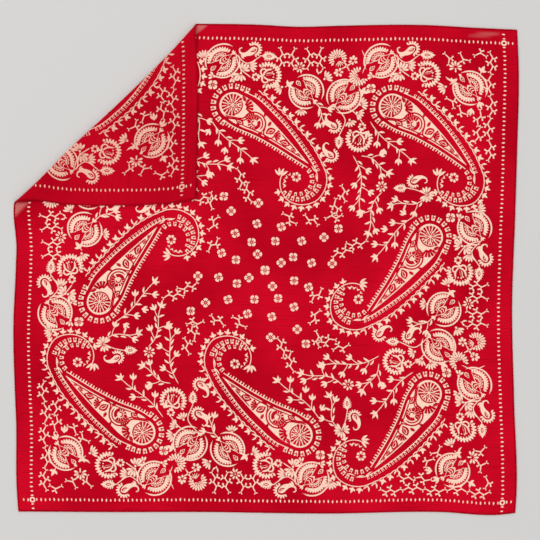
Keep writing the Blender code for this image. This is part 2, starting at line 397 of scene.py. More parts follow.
def make_hem(name, start, end):
    """A tube along the straight flat line from start to end, with the cloth on its left. Round the
    line each ring is an ellipse; between two stitches it swells like the arch of a sine wave."""
    start, end = np.array(start, dtype=float), np.array(end, dtype=float)
    length = np.linalg.norm(end - start)
    way = (end - start) / length
    outward = np.array([way[1], -way[0]])
    walked = np.linspace(0, length, round(length / HEM_STEP) + 1)
    flat = start + walked[:, None] * way
    centre = lay(flat[:, 0], flat[:, 1])
    out = out_of_face(flat[:, 0], flat[:, 1])
    beside = lay(*(flat + 0.2 * outward).T) - lay(*(flat - 0.2 * outward).T)
    beside = beside / np.linalg.norm(beside, axis=-1, keepdims=True)
    swell = 0.80 + 0.24 * np.abs(np.sin(np.pi * walked / STITCH_PITCH)) ** 0.7
    swell = swell + 0.05 * np.sin(walked * 0.41) * np.sin(walked * 0.093 + 1)
    angle = np.linspace(0, 2 * np.pi, HEM_SIDES, endpoint=False)
    # Each ring is an ellipse, wider than it is high, because the roll is pressed flat.
    wide = HEM_HALF_WIDTH * np.cos(angle)[None, :] * swell[:, None]
    high = HEM_HALF_HEIGHT * np.sin(angle)[None, :] * swell[:, None]
    points = centre[:, None] + wide[..., None] * beside[:, None] + high[..., None] * out[:, None]
    places = flat[:, None] + wide[..., None] * outward + high[..., None] * outward * 0.5
    rings = len(walked)
    i = np.arange(rings * HEM_SIDES).reshape(rings, HEM_SIDES)
    after = np.roll(i, -1, axis=1)
    faces = np.stack([i[:-1], i[1:], after[1:], after[:-1]], axis=-1).reshape(-1, 4)
    # An end ring of ten points is closed by four faces.
    rungs = np.array([(0, 1, 8, 9), (1, 2, 7, 8), (2, 3, 6, 7), (3, 4, 5, 6)])
    faces = np.concatenate([faces, i[0][rungs], i[-1][rungs][:, ::-1]])
    made = add_mesh(name, points.reshape(-1, 3), faces, places.reshape(-1, 2))
    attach(made, "root")
    return made


edge_u, edge_v = WIDTH / 2 - HEM_INSET, HEIGHT / 2 - HEM_INSET
fold_u, fold_v = (FOLD_ON_TOP - 0.5) * WIDTH, (FOLD_ON_LEFT - 0.5) * HEIGHT
# Going round with the cloth on the left: along the bottom, up the right side, and so on.
HEMS = [
    ("rolled_hem_bottom", "hem_bottom", (-edge_u, -edge_v), (edge_u, -edge_v)),
    ("rolled_hem_right", "hem_right", (edge_u, -edge_v), (edge_u, edge_v)),
    ("rolled_hem_top", "hem_top", (edge_u, edge_v), (fold_u, edge_v)),
    ("rolled_hem_corner_top", "hem_corner_top", (fold_u, edge_v), (-edge_u, edge_v)),
    ("rolled_hem_corner_left", "hem_corner_left", (-edge_u, edge_v), (-edge_u, fold_v)),
    ("rolled_hem_left", "hem_left", (-edge_u, fold_v), (-edge_u, -edge_v)),
]
hems = []
for name, node, start, end in HEMS:
    hems.append(make_hem(name, start, end))
    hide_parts(node)
print("hems:", len(hems), "with", sum(len(o.data.polygons) for o in hems), "faces")

# %% [markdown]
# ## The print: one kind of mark
# The print is a traditional all-over paisley: cream figures on a red ground, the same in each quarter of
# the cloth, turned by a right angle each time. Cloths of this kind are block or screen printed. Every
# mark in it, from a dot to a petal, is a *stroke*: a path with a width that changes along it. So one
# function draws everything, and a motif is a handful of strokes. A motif is kept as a list of
# (layer, strokes): a higher layer is printed over a lower one, even layers in cream and odd ones in red.

# %% Strokes
CREAM, RED, CREAM_OVER, RED_OVER = 0, 1, 2, 3


def stroke(path, half):
    """The two sides of a path: each point of it plus and minus half a width along the path's own
    sideways direction, which is its direction turned a quarter turn."""
    way = np.gradient(path, axis=-2)
    way = way / np.maximum(np.linalg.norm(way, axis=-1, keepdims=True), 1e-9)
    sideways = np.stack([-way[..., 1], way[..., 0]], axis=-1)
    half = np.maximum(np.asarray(half, dtype=float), 0.04)[..., None]
    return np.stack([path - sideways * half, path + sideways * half], axis=-2)


def curve(points, steps):
    """An even walk along one smooth curve through a few points, with the distance between the points
    as the curve's own measure."""
    points = np.array(points, dtype=float)
    walked = np.concatenate([[0], np.cumsum(np.linalg.norm(np.diff(points, axis=0), axis=1))])
    at = np.linspace(0, walked[-1], steps)
    return np.stack([smooth(np.stack([walked, points[:, k]], axis=-1), at) for k in (0, 1)], axis=-1)


def line(points, width, steps=None, taper=0.0):
    """A thin line through a few points, thinning to nothing over the taper share of each end."""
    steps = steps or max(4, 3 * len(points))
    t = np.linspace(0, 1, steps)
    ends = np.clip(np.minimum(t, 1 - t) / taper, 0.15, 1) if taper else np.ones(steps)
    return stroke(curve(points, steps), width / 2 * ends)[None]


def leaf(length, width, bend=0.0, fullest=0.5, steps=7):
    """A pointed leaf along +x: its width follows half a sine wave, squeezed so that it is fullest at
    that share of the length, and its middle bows sideways by bend times the length."""
    t = (1 - np.cos(np.linspace(0, np.pi, steps))) / 2
    warped = t ** (np.log(0.5) / np.log(fullest))
    path = np.stack([length * t, bend * length * 4 * t * (1 - t)], axis=-1)
    return stroke(path, width / 2 * np.sin(np.pi * warped) ** 0.85)[None]


def petal(length, width, steps=7):
    """A petal along +x: narrow where it starts and round at its end."""
    t = (1 - np.cos(np.linspace(0, np.pi, steps))) / 2
    path = np.stack([length * t, 0 * t], axis=-1)
    return stroke(path, width / 2 * np.sin(np.pi * t**1.7) ** 0.6)[None]


def disc(radius, steps=7):
    """A round dot: a stroke from side to side, as wide as a circle is at each place."""
    x = -radius * np.cos(np.linspace(0, np.pi, steps))
    return stroke(np.stack([x, 0 * x], axis=-1), np.sqrt(np.maximum(radius**2 - x**2, 0)))[None]


def oval(length, width):
    """A dot that is longer than it is wide, along +x."""
    return disc(0.5) * np.array([length, width])


def arc(radius, first, last, width, steps=None, taper=0.0):
    """A line along a circle round the origin, from one angle in degrees to another."""
    steps = steps or max(5, round(abs(last - first) / 14) + 1)
    angle = np.radians(np.linspace(first, last, steps))
    t = np.linspace(0, 1, steps)
    ends = np.clip(np.minimum(t, 1 - t) / taper, 0.12, 1) if taper else np.ones(steps)
    return stroke(radius * np.stack([np.cos(angle), np.sin(angle)], axis=-1), width / 2 * ends)[None]


def bar(start, end, width, end_width=None):
    """A short straight bar between two points, which may widen or narrow."""
    ends = np.array([start, end], dtype=float)
    return stroke(ends, np.array([width, width if end_width is None else end_width]) / 2)[None]


def copies(strokes, at, turn=0.0, size=1.0):
    """Copies of some strokes, one at each place, turned by turn degrees and scaled by size."""
    at = np.atleast_2d(np.asarray(at, dtype=float))
    turn = np.radians(np.broadcast_to(turn, len(at)))
    size = np.broadcast_to(size, len(at)).astype(float)
    c, s = np.cos(turn) * size, np.sin(turn) * size
    spin = np.stack([np.stack([c, -s], axis=-1), np.stack([s, c], axis=-1)], axis=-2)
    made = np.einsum("kij,mnsj->kmnsi", spin, strokes) + at[:, None, None, None, :]
    return made.reshape(-1, *strokes.shape[1:])


def placed(motif, at, turn=0.0, size=1.0):
    """A whole motif at one or many places."""
    return [(layer, copies(strokes, at, turn, size)) for layer, strokes in motif]


def around(strokes, count, radius=0.0, first=0.0, whole=360.0):
    """Copies of some strokes that start on a circle and point outwards, evenly round it."""
    angle = first + whole * np.arange(count) / (count if whole == 360.0 else max(count - 1, 1))
    rad = np.radians(angle)
    return copies(strokes, radius * np.stack([np.cos(rad), np.sin(rad)], axis=-1), angle)


def walk(path, pitch, first=0.5, out=0.0):
    """Places about pitch apart along a path, with the direction of the path there in degrees, each
    moved sideways by out."""
    steps = np.linalg.norm(np.diff(path, axis=0), axis=1)
    walked = np.concatenate([[0], np.cumsum(steps)])
    count = max(1, round(walked[-1] / pitch))
    at = (np.arange(count) + first) * walked[-1] / count
    place = np.stack([np.interp(at, walked, path[:, k]) for k in (0, 1)], axis=-1)
    way = np.gradient(path, axis=0)
    way = np.stack([np.interp(at, walked, way[:, k]) for k in (0, 1)], axis=-1)
    way = way / np.linalg.norm(way, axis=1, keepdims=True)
    place = place + out * np.stack([-way[:, 1], way[:, 0]], axis=-1)
    return place, np.degrees(np.arctan2(way[:, 1], way[:, 0]))


# %% [markdown]
# ## Small motifs
# Indian and Persian printed cloths share a stock of small figures: four-petalled flowers, daisies,
# tulips on thin twigs, ivy leaves, forked coral twigs, fans, and toothed carnation heads. Each of these
# functions gives one of them, in millimetres, growing from the origin along +x.

# %% Flowers and leaves
def four_petals():
    """A compact four-petalled flower, 10 mm across, with a red ring and cross in its middle."""
    return [
        (CREAM, around(petal(5.5, 5.9), 4, 0.2, 45)),
        (RED, arc(1.5, 0, 360, 0.8, 9)),
        (RED, around(bar((1.6, 0), (3.5, 0), 0.7, 0.35), 4, 0.0, 45)),
        (RED, around(bar((1.4, 0), (4.6, 0), 0.5, 1.1), 4)),
    ]


def daisy(count=8, reach=6.2, width=2.5):
    """A daisy: separate petals round a small eye."""
    return [(CREAM, around(petal(reach - 1.7, width), count, 1.7, 360 / count / 2)), (CREAM, disc(0.8, 5))]


def half_daisy():
    """A daisy seen from the side, on a short stalk."""
    fan = around(petal(5.4, 2.5), 7, 1.4, -110, 220)
    stalk = bar((0, 0), (4.2, 0), 1.2, 1.6)
    return [(CREAM, copies(fan, (5.0, 0))), (CREAM, stalk), (CREAM, copies(disc(1.0, 5), (1.2, 0)))]


def tulip():
    """A small tulip: a middle petal and two that lean out, parted by thin red gaps."""
    lean = [copies(leaf(6.0, 2.5, way * 0.10), (0.6, 0), way * 32) for way in (1, -1)]
    lean = np.concatenate(lean)
    return [(CREAM, lean), (CREAM, copies(leaf(6.8, 2.5), (0.8, 0))), (CREAM, copies(disc(1.2, 5), (0.9, 0)))]


def star():
    """A solid pointed flower, like a lily from the side."""
    points = np.concatenate([
        copies(leaf(6.6, 2.6, 0.06, 0.3), (1.6, 0), 62),
        copies(leaf(6.8, 2.8, 0.0, 0.3), (1.6, 0), 12),
        copies(leaf(6.0, 2.6, -0.06, 0.3), (1.6, 0), -42),
        copies(leaf(4.6, 2.2, -0.06, 0.3), (1.6, 0), -88),
    ])
    stalk = bar((-1.2, 0), (1.2, 0), 1.0, 2.2)
    return [(CREAM, points), (CREAM, copies(disc(2.1), (2.2, 0))), (CREAM, stalk)]


def ivy():
    """A solid ivy leaf on a short stalk: a middle point and two side points on a round body."""
    points = np.concatenate([
        copies(leaf(4.8, 2.7, 0.0, 0.35), (1.8, 0), 0),
        copies(leaf(3.9, 2.3, 0.1, 0.35), (1.9, 0), 68),
        copies(leaf(3.9, 2.3, -0.1, 0.35), (1.9, 0), -68),
    ])
    return [(CREAM, points), (CREAM, copies(disc(1.8), (2.3, 0))), (CREAM, bar((-1.2, 0), (1.0, 0), 0.8))]


def sprig():
    """Two slim petals and a bud on a short stalk."""
    upper = copies(leaf(5.4, 1.7, 0.12), (0.4, 0), 26)
    lower = copies(leaf(5.0, 1.6, -0.12), (0.4, 0), -34)
    pair = np.concatenate([upper, lower])
    return [(CREAM, pair), (CREAM, bar((-0.6, 0), (1.6, 0), 0.8, 1.0))]


def serrated():
    """A holly-like leaf with a small red seed in it."""
    side, turn = walk(curve([(2.0, 2.2), (6.5, 3.0), (11.5, 1.2)], 12), 2.1)
    teeth = copies(leaf(2.4, 1.5, 0, 0.3, 4), side, turn + 48)
    return [
        (CREAM, copies(leaf(14.5, 6.6, 0, 0.42, 9), (0.6, 0))),
        (CREAM, np.concatenate([teeth, teeth[:, :, ::-1] * np.array([1, -1])])),
        (CREAM, bar((-1.6, 0), (1.8, 0), 1.0)),
        (RED, copies(leaf(5.6, 2.7, 0, 0.45, 6), (4.6, 0))),
        (CREAM_OVER, copies(leaf(4.2, 1.4, 0, 0.45, 5), (5.2, 0))),
    ]


def fan(ribs=5, spread=96.0, reach=9.0):
    """A shell-like fan: ribs that widen from one point, and a button where they meet."""
    width = 1.05 * np.radians(spread / (ribs - 1)) * reach * 0.62
    return [
        (CREAM, around(petal(reach - 1.4, width), ribs, 1.4, -spread / 2, spread)),
        (CREAM, disc(1.4, 5)),
    ]


def twig_head():
    """One forked end of a coral twig: a stalk with two short prongs."""
    prong = bar((-0.5, 0), (3.6, 0), 1.5, 2.0)
    prongs = [copies(prong, (2.4, 0), turn) for turn in (52, -52)]
    return np.concatenate([bar((0, 0), (2.8, 0), 1.6), *prongs])


CORAL_STEP = 5.2
CORAL_BEND = 25.0


def coral(count, side=1):
    """A coral twig from the origin along +x: count short steps that turn CORAL_BEND degrees left and
    right by turns. A forked head springs from the outside of each bend, and one closes each end."""
    zigzag = side * np.where(np.arange(count) % 2 == 0, 1.0, -1.0)
    heading = np.radians(CORAL_BEND * zigzag)
    moves = CORAL_STEP * np.stack([np.cos(heading), np.sin(heading)], axis=-1)
    bends = np.concatenate([[[0.0, 0.0]], np.cumsum(moves, axis=0)])
    path = curve(bends, 3 * count + 1)
    heads = np.append(-70.0 * zigzag[1:], [180 + np.degrees(heading[0]), np.degrees(heading[-1])])
    places = np.concatenate([bends[1:-1], bends[[0, -1]]])
    reach = np.append(np.full(count - 1, 1.0), [0.7, 0.7])
    return [
        (CREAM, stroke(path, np.full(len(path), 0.76))[None]),
        (CREAM, copies(twig_head(), places, heads, reach)),
    ]


def hook():
    """A little paisley, bent like a comma: its round end stands in a toothed collar and holds a red
    seed, and its tip curls over."""
    bends = [(1.8, -2.2), (0, 0), (-3.6, 3.0), (-6.0, 7.6), (-5.2, 11.6), (-2.2, 12.6), (-0.8, 10.8)]
    spine = curve(bends, 26)
    widths = [(0, 0.0), (0.06, 1.9), (0.16, 2.9), (0.3, 2.8), (0.5, 1.8), (0.7, 0.9), (1, 0.5)]
    width = smooth(widths, np.linspace(0, 1, 26))
    return [
        (CREAM, stroke(spine, width)[None]),
        (CREAM, copies(arc(4.6, -160, 62, 1.6, 16, 0.1), (0.2, 0.2))),
        (CREAM, copies(around(leaf(2.6, 2.0, 0, 0.35, 5), 10, 4.7, -150, 204), (0.2, 0.2))),
        (RED, copies(arc(3.3, -150, 60, 0.5, 12), (0.2, 0.2))),
        (RED, copies(leaf(5.6, 2.2, 0.1, 0.4, 7), (1.0, -1.4), 130)),
        (CREAM_OVER, copies(leaf(3.8, 0.9, 0.1, 0.4, 5), (0.5, -0.7), 130)),
    ]


def carnation():
    """A carnation from the side: a bold crescent with a toothed rim and red beads, three striped
    leaves that rise in it from its foot, a scroll to each side, and a small flower on the stalk."""
    scroll = curve([(-6.5, 1.2), (-7.6, 4.4), (-5.4, 7.6), (-1.8, 7.2), (-1.4, 4.2), (-3.4, 3.6)], 16)
    scroll = stroke(scroll, np.linspace(1.1, 0.75, 16))[None]
    leaves = ((0.14, 27), (0.08, 2), (-0.12, -26))
    stripes = np.concatenate([copies(leaf(14.0, 3.3, bend), (-6.0, 0), turn) for bend, turn in leaves])
    seams = np.concatenate([copies(leaf(10.5, 1.5, bend), (-4.2, 0), turn) for bend, turn in leaves])
    head = [
        (CREAM, arc(11.2, -124, 124, 3.8, 26, 0.12)),
        (CREAM, around(leaf(3.8, 3.0, 0, 0.4, 5), 18, 11.9, -120, 240)),
        (CREAM, stripes),
        (RED, seams),
        (RED, around(disc(1.0, 5), 13, 10.0, -108, 216)),
        (CREAM, around(disc(0.85, 5), 7, 6.3, -84, 168)),
        (CREAM, scroll),
        (CREAM, scroll[:, :, ::-1] * np.array([1, -1])),
    ]
    foot = [
        (CREAM, copies(around(petal(3.7, 2.9), 7, 1.0, 26, 308), (6.6, 0))),
        (RED, copies(arc(1.5, 0, 360, 0.5, 9), (6.6, 0))),
        (CREAM, bar((8.6, 0), (14.5, 0), 1.8, 2.6)),
    ]
    return foot + placed(head, (20.5, 0))


def small_carnation(reach=8.0):
    """A round carnation with a toothed rim and a red eye."""
    return [
        (CREAM, arc(reach * 0.62, -130, 130, reach * 0.30, 18, 0.08)),
        (CREAM, around(leaf(reach * 0.42, reach * 0.28, 0, 0.35, 5), 14, reach * 0.72, -126, 252)),
        (CREAM, around(leaf(reach * 0.52, reach * 0.16, 0, 0.6, 5), 5, reach * 0.06, -70, 140)),
        (RED, around(leaf(reach * 0.26, 0.6, 0, 0.5, 4), 9, reach * 0.52, -100, 200)),
    ]


def oval_flower():
    """A flower of six plump petals in two rows, longer than it is wide."""
    petals = np.concatenate([
        copies(petal(4.6, 2.9), (5.0, 0), 0), copies(petal(4.2, 2.7), (4.6, 0.4), 48),
        copies(petal(4.2, 2.7), (4.6, -0.4), -48), copies(petal(4.0, 2.7), (3.9, 0.5), 108),
        copies(petal(4.0, 2.7), (3.9, -0.5), -108), copies(petal(3.4, 2.4), (3.6, 0), 180),
    ])
    return [(CREAM, petals), (RED, copies(arc(0.9, 0, 360, 0.4, 7), (4.4, 0)))]


def pomegranate():
    """An opened pomegranate. Two toothed half moons, beaded inside, curve from the stalk at -x round
    a heart of scales; a seed lies between their tips at +x, and an open line loops round each side."""
    half = [
        (CREAM, arc(12.0, 24, 170, 3.2, 22, 0.2)),
        (CREAM, around(leaf(3.8, 2.9, 0, 0.4, 5), 13, 12.2, 30, 134)),
        (CREAM, around(petal(5.6, 3.0), 6, 4.0, 46, 110)),
        (RED, around(disc(0.8, 5), 6, 7.6, 46, 110)),
        (CREAM, arc(5.2, 160, 178, 3.2, 5)),
    ]
    half = placed(half, (1.2, 1.4))
    half += [(CREAM, line([(-1.0, 2.8), (4.0, 3.6), (9.0, 5.6), (13.0, 6.2)], 1.0, 10, 0.2))]
    other = [(layer, strokes[:, :, ::-1] * np.array([1, -1])) for layer, strokes in half]
    heart = [
        (CREAM, copies(leaf(17.0, 8.8, 0, 0.62, 10), (-12.5, 0))),
        (RED, copies(leaf(14.4, 6.6, 0, 0.62, 10), (-11.2, 0))),
    ]
    scales = [copies(arc(2.6 - 0.3 * k, -70, 70, 1.2, 6), (x, 0)) for k, x in enumerate((-0.2, -3.0, -5.8))]
    heart += [(CREAM_OVER, np.concatenate(scales))]
    stalk = [
        (CREAM, around(leaf(5.0, 2.2, 0, 0.6, 5), 3, 0, 148, 64)),
        (CREAM, bar((-4.5, 0), (2.0, 0), 0.9, 1.5)),
    ]
    seed = [
        (CREAM, copies(leaf(8.4, 5.2, 0, 0.62, 8), (8.4, 0))),
        (RED, copies(leaf(5.6, 3.0, 0, 0.62, 7), (9.8, 0))),
        (CREAM_OVER, copies(leaf(3.2, 1.3, 0, 0.62, 6), (11.0, 0))),
    ]
    loops = [(CREAM, arc(18.8, 12, 166, 1.9, 20, 0.12)), (CREAM, arc(19.2, -8, -162, 1.9, 20, 0.12))]
    return half + other + heart + placed(stalk, (-12.6, 0)) + seed + loops


print("a pomegranate is", sum(len(s) for _, s in pomegranate()), "strokes")


def spray(length, sway, forks, side=1):
    """A thin branch along +x that sways once. Stalks leave it at even places, to each side by turns,
    each with a tulip at its end and a leaf across from it, and a star closes the branch."""
    def along(share):
        return np.stack([length * share, sway * np.sin(1.5 * np.pi * share)], axis=-1)

    marks = [(CREAM, line(along(np.linspace(0, 1, 9)), 1.15, 40, 0.04))]
    at = along(np.arange(1, forks + 1) / (forks + 1))
    way = side * np.where(np.arange(forks) % 2 == 0, 1.0, -1.0)
    turn = 48.0 * way
    stalk = line([(0, 0), (4.5, 0.5), (9.5, 0)], 1.1, 9, 0.06)
    out = np.stack([np.cos(np.radians(turn)), np.sin(np.radians(turn))], axis=-1)
    marks += [(CREAM, copies(stalk, at, turn))]
    marks += placed(tulip(), at + 9.5 * out, turn, 1.1)
    marks += [(CREAM, copies(leaf(8.0, 2.5, 0.1), at, -0.9 * turn))]
    marks += [(CREAM, copies(leaf(7.5, 2.4, 0.1), at - (5.0, 0.0), 0.8 * turn))]
    marks += placed(star(), (length, -sway), 0, 1.1)
    return marks

# %% [markdown]
# ## The great paisley
# The paisley, or *buta*, is a mango-shaped drop whose tip curls over. From the middle outwards this one
# has a cream body cut with red rosettes and fans, a red moat, a line with comb teeth that runs on round
# the curled tip, and an ivy stem on its outer side that ends in a tuft of leaves. A flower sits in the
# curl, and a tulip twig grows along the inner side. It is drawn along +x: the middle of its round end is
# the origin, and every line round it is the body's own outline moved out by a gap, or a spiral round
# the middle of the curl.

# %% The lines it is built on
TIP = 105.0  # how far the body's tip is from the middle of its round end
BULB = 15.0  # the radius of the round end
SIDES = [(0, 15.0), (9, 16.0), (20, 15.4), (36, 11.8), (53, 8.8), (73, 5.5), (88, 3.1), (105, 0.3)]
CURL = np.array([106.0, -21.0])
FIRST_WHEEL = (-0.6, 0.3)
SECOND_WHEEL = (31.0, -1.2)


def bow(x):
    """The middle line of the body: half a sine wave over its length, so it bends a little."""
    return 3.2 * np.sin(np.pi * np.clip(x, 0, TIP) / TIP)


def beside(x, gap, way=1):
    """Places along the body at a gap outside its edge: above it for way 1, below it for way -1."""
    x = np.asarray(x, dtype=float)
    return np.stack([x, bow(x) + way * (smooth(SIDES, np.clip(x, 0, TIP)) + gap)], axis=-1)


def spiral(first, last, start, end, steps):
    """Places round the middle of the curl: the angle in degrees goes evenly from first to last while
    the radius goes evenly from start to end."""
    angle = np.radians(np.linspace(first, last, steps))
    radius = np.linspace(start, end, steps)[:, None]
    return CURL + radius * np.stack([np.cos(angle), np.sin(angle)], axis=-1)


def along_circle(middle, radius, first, last, steps):
    """Places on a circle, from one angle in degrees to another."""
    angle = np.radians(np.linspace(first, last, steps))
    return np.array(middle) + radius * np.stack([np.cos(angle), np.sin(angle)], axis=-1)


def swinging(under, over):
    """A line that runs under the first wheel at one radius and over the second at another."""
    first = along_circle(FIRST_WHEEL, under, -90, -52, 3)
    return np.concatenate([first, along_circle(SECOND_WHEEL, over, 188, -12, 8)])


def comb_line():
    """The line the teeth stand on: back along the lower side, round the bulb, out along the upper
    side with a gap that swells in its middle, and over into the curl."""
    x = np.linspace(107, 6, 10)
    lower = beside(x, 3.9, -1)
    angle = np.radians(np.linspace(-100, -260, 9))
    bulb = (BULB + 3.9) * np.stack([np.cos(angle), np.sin(angle)], axis=-1)
    x = np.linspace(8, 92, 9)
    upper = beside(x, 4.2 + 3.6 * np.sin(np.pi * x / TIP))
    return curve(np.concatenate([lower, bulb, upper, spiral(68, 32, 22.5, 21.5, 4)]), 190)


# %% Its parts
def body():
    """The cream drop and all that is cut into it: a wheel in the round end, a smaller wheel, a
    swinging line that parts them, fans along the upper edge, and drops towards the tip."""
    t = (1 - np.cos(np.linspace(0, np.pi, 70))) / 2
    x = -BULB + (TIP + BULB) * t
    rounded = np.sqrt(np.clip(1 - (np.clip(x, -BULB, 0) / BULB) ** 2, 0, 1))
    spine = np.stack([x, bow(x)], axis=-1)
    marks = [(CREAM, stroke(spine, smooth(SIDES, np.clip(x, 0, TIP)) * rounded)[None])]
    wheel = [
        (RED, around(bar((6.4, 0), (12.4, 0), 1.0, 3.0), 13, 0.0, 74, 240)),
        (RED, around(leaf(6.6, 3.2, 0, 0.62, 6), 7, 1.2, 12)),
        (CREAM_OVER, around(leaf(3.8, 1.2, 0, 0.62, 5), 7, 2.9, 12)),
        (CREAM_OVER, disc(0.9, 5)),
        (RED, arc(10.8, -52, 66, 1.3, 14, 0.1)),
        (RED, around(bar((7.0, 0), (9.5, 0), 0.9, 1.9), 6, 0.0, -44, 100)),
    ]
    marks += placed(wheel, FIRST_WHEEL)
    # The swinging line is doubled: two red lines with a cream one left between them.
    marks += [(RED, line(swinging(13.9, 12.6), 1.5, 44, 0.05))]
    marks += [(RED, line(swinging(15.6, 9.4), 1.3, 44, 0.05))]
    second = [
        (RED, around(bar((3.4, 0), (7.2, 0), 1.1, 2.9), 5, 0.0, -42, 96)),
        (RED, around(bar((4.0, 0), (8.4, 0), 1.2, 3.2), 5, 0.0, 92, 100)),
        (RED, arc(2.6, 120, 330, 1.2, 12, 0.1)),
        (RED, around(bar((9.6, 0), (12.6, 0), 1.2, 2.6), 5, 0.0, 132, 50)),
        (RED, around(bar((3.9, 0), (7.2, 0), 1.0, 2.2), 4, 0.0, 208, 84)),
    ]
    marks += placed(second, SECOND_WHEEL)
    fan_cut = around(bar((1.6, 0), (6.8, 0), 0.8, 2.0), 5, 0.0, -48, 96)
    # Each row: where a fan is cut, its turn and its size.
    fans = [
        (4.4, 11.4, 66, 0.7),
        (11.0, 6.2, 48, 1.55),
        (45.6, -7.4, 172, 0.7),
        (55.6, 2.4, 26, 1.15),
        (20.5, -12.6, 172, 0.75),
        (32.5, 13.4, 20, 0.5),
        (42.4, 9.0, 6, 0.6),
        (70.5, 1.8, 24, 0.6),
    ]
    fan_x, fan_y, turns, sizes = np.array(fans).T
    marks += [(RED, copies(fan_cut, np.stack([fan_x, fan_y], axis=-1), turns, sizes))]
    # A collar round the drop beside the second wheel, then more drops towards the tip.
    marks += [(RED, line(along_circle((50.5, 0.8), 6.3, 170, 400, 9), 1.3, 24, 0.08))]
    seed = [
        (RED, leaf(9.8, 6.4, 0.06, 0.55, 8)),
        (CREAM_OVER, copies(leaf(6.8, 3.2, 0.06, 0.55, 7), (1.6, 0))),
        (RED_OVER, copies(leaf(4.6, 1.7, 0.06, 0.55, 6), (2.7, 0))),
    ]
    places = np.array([(47.8, -2.4), (64.8, 0.8), (12.4, -11.0), (79.6, 2.0), (88.0, 1.5)])
    turns = np.array([60, 14, 6, -2, -4])
    marks += placed(seed, places, turns, np.array([1.25, 1.25, 1.05, 0.66, 0.5]))
    # A seam just inside each edge, which leaves a thin cream line outside it.
    marks += [(RED, line(beside(np.linspace(20, 97, 9), -1.9, -1), 1.1, 40, 0.06))]
    marks += [(RED, line(beside(np.linspace(62, 86, 4), -1.9), 1.1, 18, 0.1))]
    return marks


def notched_block():
    """A block that widens outwards along +x, with a red notch like a bent hook cut into it."""
    notch = np.concatenate([bar((-1.2, 0.4), (3.1, 0.4), 0.9), bar((0.4, -1.7), (0.4, 0.8), 0.85)])
    return [(CREAM, bar((-2.9, 0), (2.8, 0), 3.8, 4.8)), (RED, notch)]


def comb_band():
    """A line with comb teeth on its outer side. They are plain along the lower side and small
    notched blocks along the upper one. Round the bulb the line stops for large notched blocks."""
    path = comb_line()
    round_bulb = np.flatnonzero(path[:, 0] < 2)
    sides = [path[: round_bulb[0]], path[round_bulb[-1] :]]
    marks = [(CREAM, stroke(side, np.full(len(side), 0.6))[None]) for side in sides]
    at, turn = walk(path, 3.3, 0.5, 1.9)
    lower = (at[:, 0] >= 2) & (at[:, 1] < bow(at[:, 0])) & (at[:, 0] < 104)
    tall = 1.0 + 0.25 * np.sin(np.arange(len(at)) * 2.2)
    tooth = bar((-1.8, 0), (1.5, 0), 1.7, 1.3)
    marks += [(CREAM, copies(tooth, at[lower], turn[lower] + 90, tall[lower]))]
    at, turn = walk(path, 4.5, 0.5, 2.3)
    upper = (at[:, 0] > 10) & (at[:, 1] > bow(at[:, 0]))
    marks += placed(notched_block(), at[upper], turn[upper] + 90, 0.62)
    at, turn = walk(path, 6.0, 0.5, 3.0)
    bulb = (at[:, 0] < 8) & (np.abs(at[:, 1]) < 30)
    marks += placed(notched_block(), at[bulb], turn[bulb] + 90)
    return marks


def curl():
    """The curled tip: two rows of notched blocks, the inner row shrinking and turning to pairs of
    small leaves as it winds in, slim leaves between the rows where the body's tip runs out, and a
    flower in the middle."""
    outer, turn = walk(spiral(24, -104, 25.2, 21.8, 30), 6.1)
    marks = placed(notched_block(), outer, turn + 92, 0.86)
    inner, turn = walk(spiral(84, -92, 15.2, 18.0, 30), 6.1)
    marks += placed(notched_block(), inner, turn + 92, np.linspace(0.86, 0.7, len(inner)))
    pair = np.concatenate([leaf(4.8, 2.1, 0.14, 0.5, 5), copies(leaf(4.4, 1.9, -0.14, 0.5, 5), (0, 0), 74)])
    last, turn = walk(spiral(-106, -176, 16.2, 8.2, 14), 4.3)
    marks += [(CREAM, copies(pair, last, turn + 52, np.linspace(1.0, 0.7, len(last))))]
    slim, turn = walk(spiral(84, -30, 21.6, 20.2, 20), 9.5, 0.1)
    marks += [(CREAM, copies(leaf(10.5, 1.7, -0.07), slim, turn - 4))]
    marks += [(CREAM, copies(around(petal(3.9, 3.5), 7, 1.7, 10), CURL + (-3.0, 0.5)))]
    return marks


def ivy_stem():
    """The outer stem: a line that wavers a little, with ivy leaves and sprigs on its outer side, close
    together round the curl, and a tuft of four leaves at its end."""
    x = np.linspace(12, 86, 7)
    straight = beside(x, 12.6 + 4.6 * np.sin(np.pi * x / 170))
    round_curl = np.concatenate([spiral(64, -10, 31.8, 33.0, 5), spiral(-34, -148, 30.6, 19.2, 6)])
    path = curve(np.concatenate([straight, round_curl, [(89.0, -27.5)]]), 160)
    way = np.gradient(path, axis=0)
    way = way / np.linalg.norm(way, axis=1, keepdims=True)
    waver = 0.55 * np.sin(np.linspace(0, 56 * np.pi, 160)) * np.clip(1.6 - np.linspace(0, 2.6, 160), 0, 1)
    wavy = path + waver[:, None] * np.stack([-way[:, 1], way[:, 0]], axis=-1)
    marks = [(CREAM, stroke(wavy, np.full(160, 0.62))[None])]
    at, turn = walk(path[:88], 9.4, 0.6, 1.3)
    lean = turn + 50
    kind = np.array([0, 1, 0, 1, 1, 1, 0, 1, 0, 1, 1, 0])[np.arange(len(at)) % 12]
    marks += placed(sprig(), at[kind == 0], lean[kind == 0], 1.25)
    marks += placed(ivy(), at[kind == 1], lean[kind == 1], 1.15)
    at, turn = walk(path[88:148], 7.7, 0.5, 1.2)
    marks += placed(ivy(), at, turn + 78, 1.1)
    marks += [(CREAM, copies(around(leaf(9.0, 2.9, 0.07), 4, 1.5, 76, 88), (89.5, -31.0)))]
    return marks


